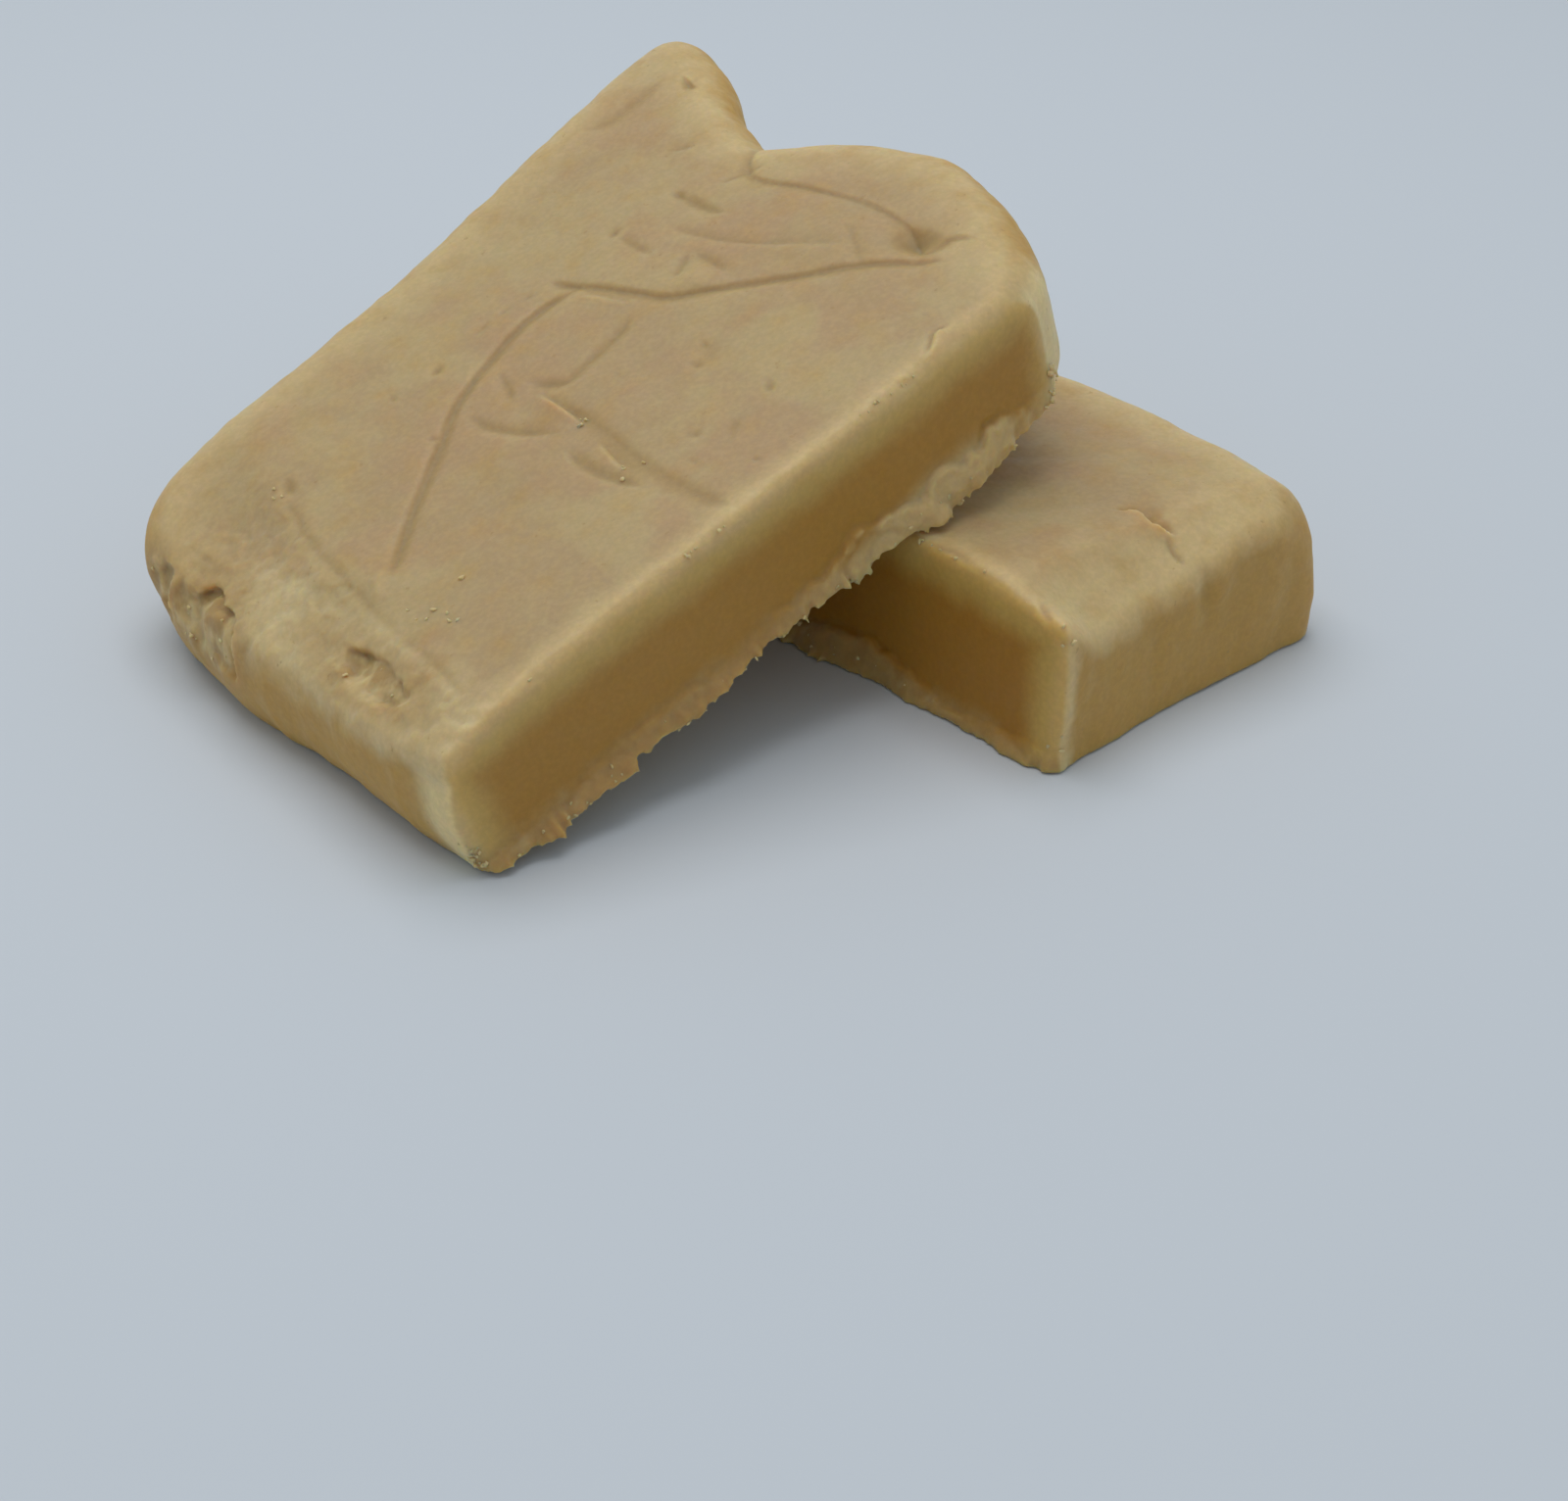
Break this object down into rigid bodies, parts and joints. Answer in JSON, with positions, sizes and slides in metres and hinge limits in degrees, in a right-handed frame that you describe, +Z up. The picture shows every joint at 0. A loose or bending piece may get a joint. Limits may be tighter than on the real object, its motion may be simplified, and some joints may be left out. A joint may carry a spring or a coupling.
{
  "type": "stack of fudge bars",
  "caption": "Thick bars of pale pan-set fudge with soft moulded sides and a knife-cut face, the upper bar leaning on the lower.",
  "frame": {"origin": "middle of the stack's footprint box, on the surface that it stands on", "axes": "+X along the upper bar's length in plan, from its foot towards the lower bar, +Y along the lower bar's cut face, away from the upper bar's cut face, +Z up"},
  "size_m": [0.1164, 0.1164, 0.0534],
  "materials": {
    "fudge": "waxy, soft and slightly translucent: pale ivory skin on the moulded sides and rims, tan and mottled in the middle of the faces, smooth where the knife went through"
  },
  "bodies": {
    "lower": {"lower_bar": "fudge"},
    "upper": {"upper_bar": "fudge"}
  },
  "joints": [
    {"name": "upper_bar_lift", "type": "slide", "parent": "lower", "child": "upper", "axis": [0, 0, 1], "range_m": [0, 0.06]}
  ]
}
